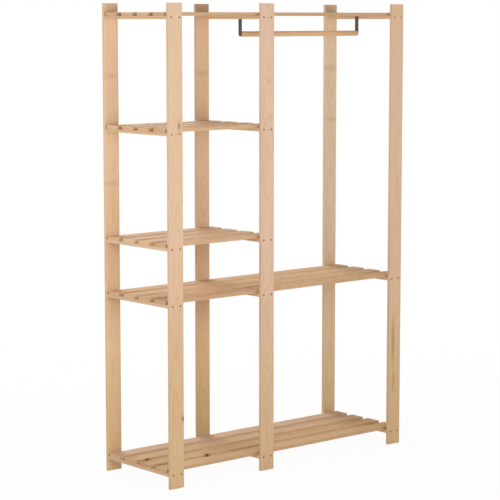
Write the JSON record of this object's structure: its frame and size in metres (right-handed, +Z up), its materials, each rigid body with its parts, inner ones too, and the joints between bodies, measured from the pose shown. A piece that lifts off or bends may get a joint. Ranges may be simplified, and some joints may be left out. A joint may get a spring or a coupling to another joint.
{
  "type": "open frame wardrobe",
  "caption": "Open wardrobe of pale pine boards: slatted shelves on cross battens between paired uprights, short shelves in the left bay and a clothes rail in the right.",
  "frame": {"origin": "centre of the footprint, on the floor", "axes": "+Z up along the uprights, front towards -Y, +X to the right as seen from the front"},
  "size_m": [1.14, 0.38, 1.7],
  "materials": {
    "upright_pine": "planed, unfinished pine",
    "batten_pine": "planed, unfinished pine",
    "slat_pine": "planed, unfinished pine",
    "rail_pine": "turned, unfinished pine dowel",
    "strap_steel": "dark grey",
    "screw_steel": "dark bronzed",
    "staple_wire": "galvanised wire"
  },
  "bodies": {
    "root": {"upright_front_left": "upright_pine", "screws_front_left": "screw_steel", "upright_front_middle": "upright_pine", "screws_front_middle": "screw_steel", "upright_front_right": "upright_pine", "screws_front_right": "screw_steel", "upright_back_left": "upright_pine", "screws_back_left": "screw_steel", "upright_back_middle": "upright_pine", "screws_back_middle": "screw_steel", "upright_back_right": "upright_pine", "screws_back_right": "screw_steel", "bottom_shelf_batten_left": "batten_pine", "bottom_shelf_batten_middle": "batten_pine", "bottom_shelf_batten_right": "batten_pine", "bottom_shelf_slat_1": "slat_pine", "bottom_shelf_slat_2": "slat_pine", "bottom_shelf_slat_3": "slat_pine", "bottom_shelf_slat_4": "slat_pine", "bottom_shelf_staples": "staple_wire", "middle_shelf_batten_left": "batten_pine", "middle_shelf_batten_middle": "batten_pine", "middle_shelf_batten_right": "batten_pine", "middle_shelf_slat_1": "slat_pine", "middle_shelf_slat_2": "slat_pine", "middle_shelf_slat_3": "slat_pine", "middle_shelf_slat_4": "slat_pine", "middle_shelf_staples": "staple_wire", "lower_side_shelf_batten_left": "batten_pine", "lower_side_shelf_batten_middle": "batten_pine", "lower_side_shelf_slat_1": "slat_pine", "lower_side_shelf_slat_2": "slat_pine", "lower_side_shelf_slat_3": "slat_pine", "lower_side_shelf_slat_4": "slat_pine", "lower_side_shelf_staples": "staple_wire", "upper_side_shelf_batten_left": "batten_pine", "upper_side_shelf_batten_middle": "batten_pine", "upper_side_shelf_slat_1": "slat_pine", "upper_side_shelf_slat_2": "slat_pine", "upper_side_shelf_slat_3": "slat_pine", "upper_side_shelf_slat_4": "slat_pine", "upper_side_shelf_staples": "staple_wire", "top_shelf_batten_left": "batten_pine", "top_shelf_batten_middle": "batten_pine", "top_shelf_batten_right": "batten_pine", "top_shelf_slat_1": "slat_pine", "top_shelf_slat_2": "slat_pine", "top_shelf_slat_3": "slat_pine", "top_shelf_slat_4": "slat_pine", "top_shelf_staples": "staple_wire", "clothes_rail": "rail_pine", "rail_strap_left": "strap_steel", "rail_strap_right": "strap_steel", "strap_batten_screws": "screw_steel", "strap_rail_screws": "screw_steel"}
  },
  "joints": []
}
